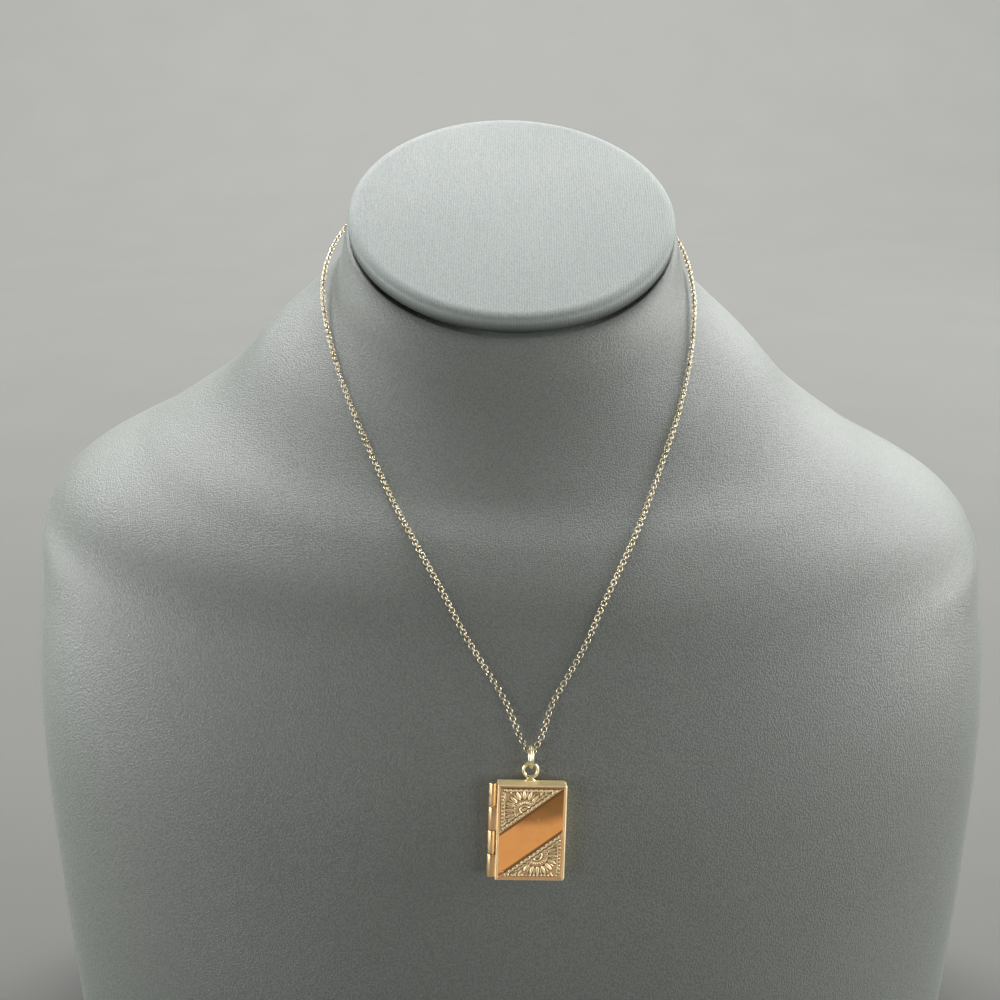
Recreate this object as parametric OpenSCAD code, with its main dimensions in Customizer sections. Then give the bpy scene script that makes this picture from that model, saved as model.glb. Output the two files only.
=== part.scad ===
// Book locket on a fine chain, hung on a neck bust.
// Millimetres. X runs to the viewer's right, the chest faces -Y, and the bust stands on Z = 0.

/* [Neck bust] */
// Widest measure across the shoulders
bust_w = 233; // [200:1:270]
// Depth of the bust at its base
bust_d = 129; // [110:1:150]
// Height of the middle of the neck opening above the table
bust_h = 195; // [160:1:230]
// Diameter of the neck opening
neck_d = 83; // [74:1:96]
// How far the middle of the neck opening stands behind the middle of the base
neck_setback = 35; // [25:1:45]
// Forward slant of the neck opening in degrees
neck_tilt = 31; // [20:1:40]
// Sideways lean of the neck in degrees
neck_lean = 2; // [-4:0.5:4]

/* [Neck cap] */
// Thickness of the padded cap
cap_h = 4.5; // [4:0.5:10]
// Width of the neck's rim that shows round the cap
cap_inset = 1; // [0.2:0.1:3]
// Rounding of the cap's upper edge
cap_edge = 2.4; // [1:0.1:3.5]
// Rise of the cap's padding at its middle
cap_crown = 0.8; // [0.2:0.1:3]
// Gap between cap and neck at the back
cap_gap = 0.3; // [0.2:0.05:0.6]
// Angle by which the cap stands open towards the front
cap_open = 0.8; // [0:0.1:2]

/* [Locket covers] */
// Width of a cover without the spine
cover_w = 14.8; // [12:0.1:20]
// Height of a cover
cover_h = 21.1; // [16:0.1:28]
// Thickness of the closed book
case_t = 4.3; // [3.4:0.1:6]
// Thickness of the sheet metal
sheet_t = 0.5; // [0.35:0.05:0.7]
// Rounding of the upright corners on the free side
corner_r = 0.5; // [0.2:0.05:1]
// Gap between the two covers
seam = 0.1; // [0.06:0.01:0.2]

/* [Raised ornament] */
// Width of the plain border round the panel
border_w = 0.5; // [0.3:0.05:0.9]
// Depth of the panel below the border
panel_drop = 0.22; // [0.12:0.01:0.3]
// Rise of the two ornamented corners above the panel
corner_rise = 0.08; // [0.04:0.01:0.12]
// Long side of an ornamented corner
corner_long = 13; // [10:0.1:13.4]
// Short side of an ornamented corner
corner_short = 10; // [7:0.1:11]
// Width of the rope lines
rope_w = 0.42; // [0.3:0.01:0.6]
// Pitch of the rope lines
rope_pitch = 0.62; // [0.4:0.01:1]
// Diameter of the beads
bead_d = 0.6; // [0.4:0.05:0.8]
// Pitch of the beads
bead_pitch = 0.96; // [0.85:0.01:1.4]
// Outer radius of the shell in the fan
shell_r = 2.05; // [1.4:0.05:2.4]
// Length of the longest petal of the fan
petal_len = 2.1; // [1.2:0.05:2.4]
// Width of a petal
petal_w = 0.62; // [0.4:0.02:0.8]

/* [Spine] */
// Diameter of the spine's knuckles
knuckle_d = 1.7; // [1.4:0.05:2.2]
// Diameter of the hinge pin
pin_d = 0.7; // [0.5:0.05:0.9]
// Clearance between pin and knuckle, on the radius
pin_play = 0.05; // [0.03:0.01:0.1]
// Gap between two knuckles
knuckle_gap = 0.12; // [0.08:0.01:0.3]
// Gap between the knuckles and the edge of a cover
spine_gap = 0.13; // [0.1:0.01:0.3]
// Thickness of the leaves that join the knuckles to the covers
leaf_t = 0.5; // [0.3:0.05:0.6]

/* [Bail and jump ring] */
// Outer diameter of the bail ring
bail_d = 3.8; // [3.2:0.1:5]
// Wire of the bail ring
bail_wire = 0.75; // [0.5:0.05:0.9]
// Height of the bail's foot
bail_foot_h = 0.6; // [0.4:0.05:1.5]
// Width of the bail's foot
bail_foot_w = 2.3; // [1.4:0.1:3]
// How far the bail stands left of the cover's middle
bail_shift = 0.3; // [-1:0.1:1]
// Outer diameter of the jump ring
jump_d = 5.2; // [4.8:0.1:7]
// Wire of the jump ring
jump_wire = 0.65; // [0.5:0.05:0.75]
// Gap where one ring hangs in the next
link_gap = 0.08; // [0.05:0.01:0.15]

/* [Chain and clasp] */
// Outer width of the chain
chain_d = 1.2; // [0.8:0.1:1.4]
// Thickest part of the clasp
clasp_d = 2.6; // [2:0.1:3.2]
// Gap between the bust and what lies on it
rest_gap = 0.15; // [0.1:0.01:0.4]

/* [How the locket lies] */
// Turn of the book to the viewer's right in degrees
book_turn = 3; // [0:0.5:8]
// Tilt of the book in its own plane in degrees
book_roll = 1.7; // [-4:0.1:4]

/* [Hidden] */
round_fn = 48;

// Sections of the bust from the table to the neck opening. Each column is a share of a named size.
// height of bust_h, width of bust_w and neck_d, depth of bust_d and neck_d,
// setback of neck_setback, tilt of neck_tilt, lean of neck_lean, and the exponent of the outline
sections = [
    [0.00, 0.95, 0.00, 1.00, 0.00, 0.00, 0.00, 0.00, 2.30],
    [0.21, 0.98, 0.00, 0.98, 0.00, 0.03, 0.03, 0.00, 2.30],
    [0.42, 1.00, 0.00, 0.96, 0.00, 0.10, 0.15, 0.00, 2.30],
    [0.58, 0.99, 0.00, 0.91, 0.00, 0.21, 0.28, 0.46, 2.30],
    [0.68, 0.91, 0.15, 0.78, 0.14, 0.31, 0.44, 0.87, 2.20],
    [0.745, 0.66, 0.32, 0.61, 0.29, 0.44, 0.48, 1.00, 2.16],
    [0.80, 0.45, 0.50, 0.45, 0.43, 0.58, 0.57, 1.00, 2.10],
    [0.86, 0.29, 0.67, 0.28, 0.62, 0.72, 0.69, 1.00, 2.02],
    [0.93, 0.08, 0.87, 0.12, 0.81, 0.87, 0.84, 1.00, 2.00],
    [1.00, 0.00, 1.00, 0.00, 1.00, 1.00, 1.00, 1.00, 2.00],
];
bust_rings = 36;
bust_sides = 64;
top_row = len(sections) - 1;

// The middle of the base stands where the whole thing is centred on Y = 0, with the book standing
// out in front of the base and the clasp behind the neck opening
neck_back = neck_setback + neck_d / 2 * cos(neck_tilt);
book_reach = 0.13 * case_t;
clasp_reach = 0.8 * clasp_d;
base_y = (bust_d / 2 + book_reach - neck_back - clasp_reach) / 2;

// The chain's route on the bust from the clasp to the ring, on each side:
// section, angle round the bust in degrees (270 or -90 is the front), and extra height above the bust
route_left = [
    [8.74, 98, 1.1],
    [8.59, 116.5, 0.3],
    [8.51, 135, 0.3],
    [8.43, 153, 1],
    [8.26, 170, 1.8],
    [8.01, 186, 1.8],
    [7.79, 204, 0.7],
    [7.48, 221.5, 0],
    [6.96, 236, 0],
    [6.12, 247.3, 0],
    [5.21, 256.7, 0],
    [4.35, 263.5, 0],
    [3.62, 267.1, 0.1],
    [2.98, 269.8, 0.7],
];
route_right = [
    [8.74, 82, 1.1],
    [8.62, 64, 0.3],
    [8.55, 45.5, 0.2],
    [8.48, 27.5, 0.5],
    [8.32, 10.5, 0.7],
    [8.07, -6, 0.6],
    [7.81, -23, 0.3],
    [7.46, -39.5, 0],
    [6.93, -53, 0],
    [6.07, -64, 0],
    [5.14, -73.4, 0],
    [4.26, -80.5, 0],
    [3.50, -84.2, 0.1],
    [2.97, -86.9, 0.7],
];
// The chain's bend in the jump ring, from the ring's middle: right, back and up
route_bend = [
    [-2.6, 0.5, 4.6],
    [-1.4, 0.1, 2.5],
    [-0.9, 0, 1.6],
    [-0.5, 0, 1.1],
    [0, 0, 0.93],
    [0.5, 0, 1.1],
    [0.9, 0, 1.6],
    [1.3, 0.1, 2.5],
    [2.4, 0.5, 4.6],
];
steps_left = 36;
steps_right = 34;
chain_sides = 8;

// Where the ring hangs and where the book's foot rests, as section and angle
hang_row = 2.54;
foot_row = 1.74;
hang_angle = 271.35;

// Smooth curve through the rows of a list, with s counting rows
function row(list, i) = i < 0 ? 2 * list[0] - list[1]
    : i >= len(list) ? 2 * list[len(list) - 1] - list[len(list) - 2]
    : list[i];
function between(a, b, c, d, f) = 0.5 * (2 * b + (c - a) * f + (2 * a - 5 * b + 4 * c - d) * f * f
    + (3 * b - a - 3 * c + d) * f * f * f);
function along(list, s) = let (i = max(0, min(floor(s), len(list) - 2)))
    between(row(list, i - 1), row(list, i), row(list, i + 1), row(list, i + 2), s - i);

// Superellipse: the powers keep the sign of the cosine and the sine
function curved(c, e) = sign(c) * pow(abs(c), 2 / e);

// A point of the bust's skin at section s and angle v
function on_bust(s, v) = let (
        r = along(sections, s),
        across = (r[1] * bust_w + r[2] * neck_d) / 2 * curved(cos(v), r[8]),
        deep = (r[3] * bust_d + r[4] * neck_d) / 2 * curved(sin(v), r[8]),
        tilt = r[6] * neck_tilt,
        lean = r[7] * neck_lean)
    [across * cos(lean) + deep * sin(tilt) * sin(lean),
     base_y + r[5] * neck_setback + deep * cos(tilt),
     r[0] * bust_h - across * sin(lean) + deep * sin(tilt) * cos(lean)];

function unit(v) = v / norm(v);
function off_bust(s, v) = unit(cross(
    on_bust(s, v + 0.5) - on_bust(s, v - 0.5),
    on_bust(min(s + 0.02, top_row), v) - on_bust(s - 0.02, v)));

// The ring hangs clear of the chest, and the book leans on the chest with its lower edge
half_t = (case_t - seam) / 2;
jump_r = (jump_d - jump_wire) / 2;
bail_r = (bail_d - bail_wire) / 2;
ring_out = jump_d / 2 + rest_gap;
hang_point = on_bust(hang_row, hang_angle) + ring_out * off_bust(hang_row, hang_angle);
bail_z = -jump_r + (jump_wire + bail_wire) / 2 + link_gap - bail_r;
cover_top = bail_z - bail_d / 2 - bail_foot_h;
cover_foot = cover_top - cover_h;
back_y = half_t / 2;
seam_y = back_y - half_t - seam / 2;
chest_run = on_bust(hang_row, hang_angle) - on_bust(foot_row, hang_angle);
chest_lean = atan2(chest_run[1], chest_run[2]);
turn_reach = (cover_w / 2 + bail_shift) * sin(book_turn);
book_lean = chest_lean - asin((ring_out - 2 * rest_gap - back_y - turn_reach) / -cover_foot);

// Spine
cover_left = bail_shift - cover_w / 2;
spine_x = cover_left - spine_gap - knuckle_d / 2;
knuckles = 4;
knuckle_pitch = cover_h / knuckles;
bore_d = pin_d + 2 * pin_play;

// Chain points
function hung(p) = hang_point + [p[0], p[1] * cos(book_lean) + p[2] * sin(book_lean),
    -p[1] * sin(book_lean) + p[2] * cos(book_lean)];
function lying(list, s) = let (p = along(list, s))
    on_bust(p[0], p[1]) + (chain_d / 2 + rest_gap + p[2]) * off_bust(p[0], p[1]);
function side_points(list, steps) =
    [for (i = [0 : steps - 1]) lying(list, i * (len(list) - 1) / (steps - 1))];
function reversed(list) = [for (i = [len(list) - 1 : -1 : 0]) list[i]];
chain_points = concat(side_points(route_left, steps_left), [for (p = route_bend) hung(p)],
    reversed(side_points(route_right, steps_right)));
chain_end = len(chain_points) - 1;

module hang() {
    translate(hang_point) rotate([-book_lean, 0, 0]) rotate([0, book_roll, 0]) rotate([0, 0, book_turn])
        children();
}

// A ring of wire in the XY plane
module wire_ring(outer, wire) {
    rotate_extrude($fn = round_fn) translate([(outer - wire) / 2, 0]) circle(d = wire, $fn = 24);
}

// Padded form: a loft through rings of the sections, closed flat at the table and at the neck
module bust() {
    points = [for (i = [0 : bust_rings - 1], j = [0 : bust_sides - 1])
        on_bust(i * top_row / (bust_rings - 1), j * 360 / bust_sides)];
    walls = [for (i = [0 : bust_rings - 2], j = [0 : bust_sides - 1]) let (k = (j + 1) % bust_sides)
        [i * bust_sides + j, (i + 1) * bust_sides + j, (i + 1) * bust_sides + k, i * bust_sides + k]];
    foot = [for (j = [0 : bust_sides - 1]) j];
    top = [for (j = [bust_sides - 1 : -1 : 0]) (bust_rings - 1) * bust_sides + j];
    color("#7a817e") polyhedron(points, concat([foot], walls, [top]), convexity = 4);
}

// Round pad with a softly rounded edge and a slight crown, as a turned outline
module neck_cap() {
    r = neck_d / 2 - cap_inset;
    mid_gap = cap_gap + r * sin(cap_open);
    low = cap_edge / 3;
    upper_edge = [for (v = [0 : 15 : 75]) [r - cap_edge + cap_edge * cos(v), cap_h - cap_edge + cap_edge * sin(v)]];
    crown = [for (i = [0 : 8]) let (x = (r - cap_edge) * (1 - i / 8))
        [x, cap_h + cap_crown * (1 - pow(x / (r - cap_edge), 2))]];
    color("#b9c4bf") translate([0, base_y + neck_setback, bust_h])
        rotate([neck_tilt - cap_open, neck_lean, 0]) translate([0, 0, mid_gap])
        rotate_extrude($fn = 144)
        polygon(concat([[0, 0], [r - low, 0], [r - 0.3 * low, 0.3 * low], [r, low]], upper_edge, crown));
}

// Fine chain drawn as the tube that its links fill, swept along the route
module chain() {
    points = [for (i = [0 : chain_end], j = [0 : chain_sides - 1]) let (
            run = unit(chain_points[min(i + 1, chain_end)] - chain_points[max(i - 1, 0)]),
            out = unit(cross(run, [0, 0, 1])),
            up = cross(out, run),
            v = (j + 0.5) * 360 / chain_sides)
        chain_points[i] + chain_d / 2 * (cos(v) * out + sin(v) * up)];
    walls = [for (i = [0 : chain_end - 1], j = [0 : chain_sides - 1]) let (k = (j + 1) % chain_sides)
        [i * chain_sides + j, i * chain_sides + k, (i + 1) * chain_sides + k, (i + 1) * chain_sides + j]];
    first = [for (j = [chain_sides - 1 : -1 : 0]) j];
    final = [for (j = [0 : chain_sides - 1]) chain_end * chain_sides + j];
    color("#dcd7b9") polyhedron(points, concat([first], walls, [final]), convexity = 6);
}

// Closed clasp behind the neck: a slim barrel between the two ends of the chain
module clasp() {
    a = chain_points[0];
    b = chain_points[chain_end];
    run = b - a;
    half = norm(run) / 2 - 2 * link_gap;
    color("#dcd7b9") translate((a + b) / 2)
        rotate([0, acos(run[2] / norm(run)), atan2(run[1], run[0])])
        rotate_extrude($fn = round_fn) polygon([
            [0, -half], [chain_d / 2, -half], [chain_d / 2, -half * 0.8], [clasp_d / 2, -half * 0.6],
            [clasp_d / 2, half * 0.6], [chain_d / 2, half * 0.8], [chain_d / 2, half], [0, half]]);
}

// Wire ring that hangs edge-on in the chain
module jump_ring() {
    color("#e2d2a2") hang() rotate([0, 90, 0]) wire_ring(jump_d, jump_wire);
}

// One cover as a shallow tray that opens towards +Z, lying on z = 0, its spine side at x = 0
module tray() {
    difference() {
        tray_block(cover_w, cover_h, half_t, corner_r);
        translate([sheet_t, sheet_t, sheet_t])
            tray_block(cover_w - 2 * sheet_t, cover_h - 2 * sheet_t, half_t, corner_r / 2);
    }
}

module tray_block(w, h, t, r) {
    linear_extrude(t) union() {
        square([w - r, h]);
        translate([0, r]) square([w, h - 2 * r]);
        for (y = [r, h - r]) translate([w - r, y]) circle(r = r, $fn = 24);
    }
}

// Knuckle number i, counted from the top, with its chamfered ends
module knuckle(i) {
    bevel = knuckle_gap;
    length = knuckle_pitch - knuckle_gap;
    translate([spine_x, seam_y, cover_top - knuckle_pitch * (i + 1) + knuckle_gap / 2])
        rotate_extrude($fn = round_fn) polygon([
            [0, 0], [knuckle_d / 2 - bevel, 0], [knuckle_d / 2, bevel],
            [knuckle_d / 2, length - bevel], [knuckle_d / 2 - bevel, length], [0, length]]);
}

// Leaf from knuckle i into the wall of its cover, on the side of the given sign
module leaf(i, side) {
    length = knuckle_pitch - 3 * knuckle_gap;
    inner = knuckle_d / 2 - leaf_t;
    translate([spine_x, seam_y + (side > 0 ? inner : -inner - leaf_t),
               cover_top - knuckle_pitch * (i + 1) + knuckle_gap * 1.5])
        cube([cover_left - spine_x + sheet_t / 2, leaf_t, length]);
}

module spine_bore() {
    translate([spine_x, seam_y, cover_foot - 1]) cylinder(d = bore_d, h = cover_h + 2, $fn = round_fn);
}

// Back cover with the bail ring soldered on its top face and the first and third knuckles
module locket_back() {
    color("#d8ad74") hang() {
        difference() {
            union() {
                translate([cover_left, back_y, cover_foot]) rotate([90, 0, 0]) tray();
                for (i = [0, 2]) {
                    knuckle(i);
                    leaf(i, 1);
                }
            }
            spine_bore();
        }
        translate([0, 0, bail_z]) rotate([90, 0, 0]) wire_ring(bail_d, bail_wire);
        difference() {
            translate([-bail_foot_w / 2, -bail_wire / 2, cover_top - sheet_t / 2])
                cube([bail_foot_w, bail_wire, bail_foot_h + sheet_t / 2 + bail_wire]);
            translate([0, 0, bail_z]) rotate([90, 0, 0])
                cylinder(r = bail_r, h = 2 * bail_wire, center = true, $fn = round_fn);
        }
    }
}

// Wavy line of width w from the left to the right
module rope(length, w) {
    n = round(length / rope_pitch) * 4;
    wave = 0.16 * w;
    upper = [for (i = [0 : n]) [i * length / n, w / 2 + wave * sin(i * 90)]];
    lower = [for (i = [n : -1 : 0]) [i * length / n, -w / 2 + wave * sin(i * 90)]];
    polygon(concat(upper, lower));
}

// Leaf outline from radius a to radius b along the angle v, widest at two thirds
module petal(v, a, b, w) {
    n = 6;
    side = [for (i = [0 : n]) [a + (b - a) * i / n, w / 2 * (0.3 + 0.7 * sin(180 * pow(i / n, 1.4)))]];
    rotate(v) polygon(concat(side, [for (i = [n : -1 : 0]) [side[i][0], -side[i][1]]]));
}

// One ornamented corner with its right angle at the origin: the long side runs along +X and the
// short side along -Y. The fan of petals stands on the slanted side.
module ornament() {
    slant = atan2(corner_short, corner_long);
    slant_len = norm([corner_long, corner_short]);
    tip = 2.2 * rope_w;
    rise = panel_drop - corner_rise;
    fan = [corner_long * 0.415, -corner_short * 0.5];
    translate([0, 0, -sheet_t / 4]) linear_extrude(sheet_t / 4 + corner_rise)
        polygon([[0, 0], [corner_long, 0], [corner_long - tip * 0.2, -tip * 0.5],
            [tip * 0.5, -corner_short + tip * 0.2], [0, -corner_short]]);
    translate([0, 0, corner_rise / 2]) linear_extrude(rise + corner_rise / 2) {
        translate([bead_d * 1.6, -rope_w * 1.3]) rope(corner_long - bead_d * 5, rope_w);
        translate([tip * 0.9, -corner_short + tip * 0.9]) rotate(slant)
            rope(slant_len - 2.2 * tip, rope_w);
    }
    for (y = [bead_d * 1.2 : bead_pitch : corner_short - bead_d * 2.6])
        translate([bead_d * 0.75, -y, corner_rise / 2])
            cylinder(d = bead_d, h = rise + corner_rise / 2, $fn = 16);
    translate([fan[0], fan[1], corner_rise / 2]) rotate(slant) linear_extrude(rise + corner_rise / 2) {
        shell_half = 78;
        intersection() {
            difference() {
                circle(r = shell_r, $fn = 40);
                circle(r = shell_r - 0.25, $fn = 40);
            }
            translate([-shell_r, rope_w * 0.6]) square([2 * shell_r, shell_r]);
        }
        for (k = [-3 : 3]) petal(90 + k * shell_half / 3.4, shell_r * 0.36, shell_r * 0.8, petal_w * 0.55);
        for (k = [-4 : 4]) {
            reach = petal_len * (k == 0 ? 0.86 : 1 - 0.12 * abs(k - 0.5));
            petal(90 + k * shell_half / 4, shell_r + 0.2, shell_r + 0.2 + reach * 0.82, petal_w);
        }
    }
}

// Front cover with a plain border round its recessed panel, the two ornamented corners,
// and the second and fourth knuckles
module locket_front() {
    front_y = back_y - case_t;
    inset = border_w * 1.45;
    color("#d9a066") hang() {
        difference() {
            union() {
                translate([cover_left, front_y, cover_top]) rotate([-90, 0, 0]) tray();
                for (i = [1, 3]) {
                    knuckle(i);
                    leaf(i, -1);
                }
            }
            spine_bore();
            translate([cover_left + border_w, front_y + panel_drop, cover_foot + border_w])
                rotate([90, 0, 0]) tray_block(cover_w - 2 * border_w, cover_h - 2 * border_w,
                    1, corner_r);
        }
        translate([cover_left + inset, front_y + panel_drop, cover_top - inset])
            rotate([90, 0, 0]) ornament();
        translate([cover_left + cover_w - inset, front_y + panel_drop, cover_foot + inset])
            rotate([90, 0, 0]) rotate(180) ornament();
    }
}

// Pin through the four knuckles
module hinge_pin() {
    color("#c99a63") hang() translate([spine_x, seam_y, cover_foot + knuckle_gap / 2])
        cylinder(d = pin_d, h = cover_h - knuckle_gap, $fn = round_fn);
}

bust();
neck_cap();
chain();
clasp();
jump_ring();
locket_back();
locket_front();
hinge_pin();
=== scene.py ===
import math
import bpy
import numpy as np
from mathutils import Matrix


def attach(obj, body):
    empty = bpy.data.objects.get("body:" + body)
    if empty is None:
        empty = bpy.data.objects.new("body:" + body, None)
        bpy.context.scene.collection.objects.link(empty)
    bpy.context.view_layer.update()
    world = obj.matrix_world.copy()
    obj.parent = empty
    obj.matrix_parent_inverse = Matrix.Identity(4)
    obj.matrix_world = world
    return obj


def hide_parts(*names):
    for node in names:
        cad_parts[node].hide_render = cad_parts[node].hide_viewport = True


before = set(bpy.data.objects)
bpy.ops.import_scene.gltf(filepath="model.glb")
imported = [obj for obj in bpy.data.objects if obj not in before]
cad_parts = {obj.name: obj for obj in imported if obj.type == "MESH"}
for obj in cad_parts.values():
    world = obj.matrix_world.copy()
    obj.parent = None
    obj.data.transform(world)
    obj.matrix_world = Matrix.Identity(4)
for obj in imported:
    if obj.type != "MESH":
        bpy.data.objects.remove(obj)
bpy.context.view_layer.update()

# Camera
# It stands in front of the chest, a little above the neck, and looks 17 degrees down.
camera = bpy.data.objects.new("camera", bpy.data.cameras.new("camera"))
camera.data.lens = 58.87
camera.data.sensor_width = 36.0
camera.location = (0.0, -0.3823, 0.25)
camera.rotation_euler = (math.radians(73.0), 0.0, math.radians(0.4))
bpy.context.scene.collection.objects.link(camera)
bpy.context.scene.camera = camera
bpy.context.scene.view_settings.view_transform = "Standard"

# Floor
# A plain pale sheet of matt paper that lies under the bust and sweeps up far behind it.


def make_piece(name, points, faces, attributes=()):
    """Puts an array of points in metres and an array or list of faces into a smooth mesh object.
    attributes are pairs of a name and one number for each point."""
    mesh = bpy.data.meshes.new(name)
    mesh.from_pydata(np.asarray(points, float).reshape(-1, 3).tolist(), [], [list(f) for f in faces])
    mesh.update()
    mesh.polygons.foreach_set("use_smooth", np.ones(len(mesh.polygons), bool))
    for label, values in attributes:
        stored = mesh.attributes.new(label, "FLOAT", "POINT")
        stored.data.foreach_set("value", np.ravel(values).astype(np.float32))
    made = bpy.data.objects.new(name, mesh)
    bpy.context.scene.collection.objects.link(made)
    return made


def make_material(name, colour, roughness, metallic=0.0):
    """A new material with these constants on its shader's sockets, with its node tree and its shader."""
    made = bpy.data.materials.new(name)
    made.use_nodes = True
    shader = made.node_tree.nodes["Principled BSDF"]
    shader.inputs["Base Color"].default_value = (*colour, 1.0)
    shader.inputs["Roughness"].default_value = roughness
    shader.inputs["Metallic"].default_value = metallic
    return made, made.node_tree, shader


def add_node(tree, kind, links=(), sockets=(), **settings):
    """Adds a shader node with settings as its attributes, constants on its sockets, and links into it.
    sockets and links are pairs of a socket's name or number and a constant or an output."""
    made = tree.nodes.new(kind)
    for key, value in settings.items():
        setattr(made, key, value)
    for key, value in sockets:
        made.inputs[key].default_value = value
    for key, output in links:
        tree.links.new(output, made.inputs[key])
    return made


def add_noise(tree, place, scale, detail):
    """Adds a noise texture of this scale and detail, laid out by the place."""
    return add_node(tree, "ShaderNodeTexNoise", links=[("Vector", place)],
                    sockets=[("Scale", scale), ("Detail", detail)])


def remap(tree, value, low, high, to_low, to_high, soft=False):
    """Output of a node that maps a value from low..high to to_low..to_high and stops at both ends."""
    return add_node(tree, "ShaderNodeMapRange", links=[("Value", value)],
                    sockets=[("From Min", low), ("From Max", high), ("To Min", to_low), ("To Max", to_high)],
                    interpolation_type="SMOOTHSTEP" if soft else "LINEAR").outputs["Result"]


def mix_colours(tree, share, first, second):
    """Output of a node that goes from the first colour to the second as share goes from 0 to 1."""
    made = add_node(tree, "ShaderNodeMix", links=[(0, share)], data_type="RGBA")
    for socket, colour in ((made.inputs[6], first), (made.inputs[7], second)):
        if isinstance(colour, tuple):
            socket.default_value = (*colour, 1.0)
        else:
            tree.links.new(colour, socket)
    return made.outputs[2]


# Line of the sheet, as Y and Z: flat, then a quarter circle up, then upright
PAPER_FRONT, PAPER_FLAT, PAPER_BEND, PAPER_TOP, PAPER_HALF = -3.0, 1.3, 0.9, 3.6, 4.0
bend = np.linspace(0.0, math.pi / 2, 16)
sweep = np.stack([PAPER_FLAT + PAPER_BEND * np.sin(bend), PAPER_BEND - PAPER_BEND * np.cos(bend)], -1)
paper_line = np.concatenate([[(PAPER_FRONT, 0.0)], sweep, [(PAPER_FLAT + PAPER_BEND, PAPER_TOP)]])
paper_points = np.stack([np.stack([np.full(len(paper_line), x), *paper_line.T], -1)
                         for x in (-PAPER_HALF, PAPER_HALF)], 1)
steps = np.arange(len(paper_line) - 1)[:, None] * 2
floor = make_piece("floor", paper_points, steps + np.array([[0, 1, 3, 2]]))
paper, tree, shader = make_material("matt_paper", (0.095, 0.095, 0.090), 0.85)
place = add_node(tree, "ShaderNodeTexCoord").outputs["Object"]
fibre = add_noise(tree, place, 14.0, 4.0)
paper_colour = mix_colours(tree, remap(tree, fibre.outputs["Fac"], 0.3, 0.7, 0.0, 1.0),
                           (0.093, 0.093, 0.088), (0.097, 0.097, 0.092))
tree.links.new(paper_colour, shader.inputs["Base Color"])
floor.data.materials.append(paper)

# Light
# Soft boxes stand low at both sides, in front and behind, a wide one lights the backdrop, and a small
# one is high in front. A warm card lies on the floor in front, where the book's cover reflects it.
world = bpy.data.worlds.new("room")
world.use_nodes = True
room_light = world.node_tree.nodes["Background"]
room_light.inputs["Color"].default_value = (1.0, 0.99, 0.94, 1.0)
room_light.inputs["Strength"].default_value = 0.06
bpy.context.scene.world = world


def soft_box(name, place, target, width, height, power, colour=(1.0, 1.0, 1.0)):
    """Adds a rectangular light at a place, turned to shine on a target, that the camera doesn't see."""
    data = bpy.data.lights.new(name, "AREA")
    data.shape = "RECTANGLE"
    data.size, data.size_y, data.energy, data.color = width, height, power, colour
    made = bpy.data.objects.new(name, data)
    made.location = place
    run = np.subtract(target, place)
    made.rotation_euler = (math.atan2(math.hypot(run[0], run[1]), -run[2]), 0.0, math.atan2(-run[0], run[1]))
    made.visible_camera = False
    bpy.context.scene.collection.objects.link(made)


AIM = (0.0, 0.0, 0.12)
soft_box("left_box", (-1.28, 0.0, 0.30), AIM, 0.7, 0.5, 15.0, (0.98, 1.0, 0.98))
soft_box("right_box", (1.25, 0.0, 0.45), AIM, 0.7, 0.5, 18.0, (1.0, 1.0, 0.98))
soft_box("left_front_box", (-0.91, -0.91, 0.30), AIM, 0.7, 0.5, 5.2)
soft_box("right_front_box", (0.91, -0.91, 0.30), AIM, 0.7, 0.5, 4.8)
soft_box("left_back_box", (-0.57, 0.57, 1.14), AIM, 0.7, 0.5, 7.0)
soft_box("right_back_box", (0.80, 0.80, 0.77), AIM, 0.7, 0.5, 6.5)
soft_box("high_front_box", (0.05, -0.60, 0.95), (0.0, -0.06, 0.10), 0.5, 0.2, 0.45, (1.0, 0.99, 0.95))
soft_box("backdrop_box", (0.0, 1.5, 2.3), (0.0, 2.2, 0.6), 3.4, 0.6, 260.0)
soft_box("floor_card", (0.06, -0.4635, 0.001), (0.06, -0.4634, 1.0), 0.34, 0.237, 0.115, (1.0, 0.91, 0.81))

# Bust
# A firm neck and shoulder form with thin padding, covered in fine grey leatherette that is pulled
# smooth over the shoulders and tucked in under the cap. It stands on its flat underside.
BUST_WIDTH, BUST_DEPTH, BUST_HEIGHT, NECK_ACROSS = 0.233, 0.129, 0.195, 0.083
NECK_SETBACK, NECK_TILT, NECK_LEAN = 0.035, math.radians(31.0), math.radians(2.0)
# The base stands a little forward, so that the whole box of the part is centred on Y
BASE_Y = -0.00379672
# Columns: height, shares of the shoulder and neck widths, shares of the base and neck depths,
# setback, tilt, lean, and the exponent of the outline
BUST_SECTIONS = np.array([
    [0.00, 0.95, 0.00, 1.00, 0.00, 0.00, 0.00, 0.00, 2.30],
    [0.21, 0.98, 0.00, 0.98, 0.00, 0.03, 0.03, 0.00, 2.30],
    [0.42, 1.00, 0.00, 0.96, 0.00, 0.10, 0.15, 0.00, 2.30],
    [0.58, 0.99, 0.00, 0.91, 0.00, 0.21, 0.28, 0.46, 2.30],
    [0.68, 0.91, 0.15, 0.78, 0.14, 0.31, 0.44, 0.87, 2.20],
    [0.745, 0.66, 0.32, 0.61, 0.29, 0.44, 0.48, 1.00, 2.16],
    [0.80, 0.45, 0.50, 0.45, 0.43, 0.58, 0.57, 1.00, 2.10],
    [0.86, 0.29, 0.67, 0.28, 0.62, 0.72, 0.69, 1.00, 2.02],
    [0.93, 0.08, 0.87, 0.12, 0.81, 0.87, 0.84, 1.00, 2.00],
    [1.00, 0.00, 1.00, 0.00, 1.00, 1.00, 1.00, 1.00, 2.00]])
TOP_SECTION = len(BUST_SECTIONS) - 1


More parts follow.
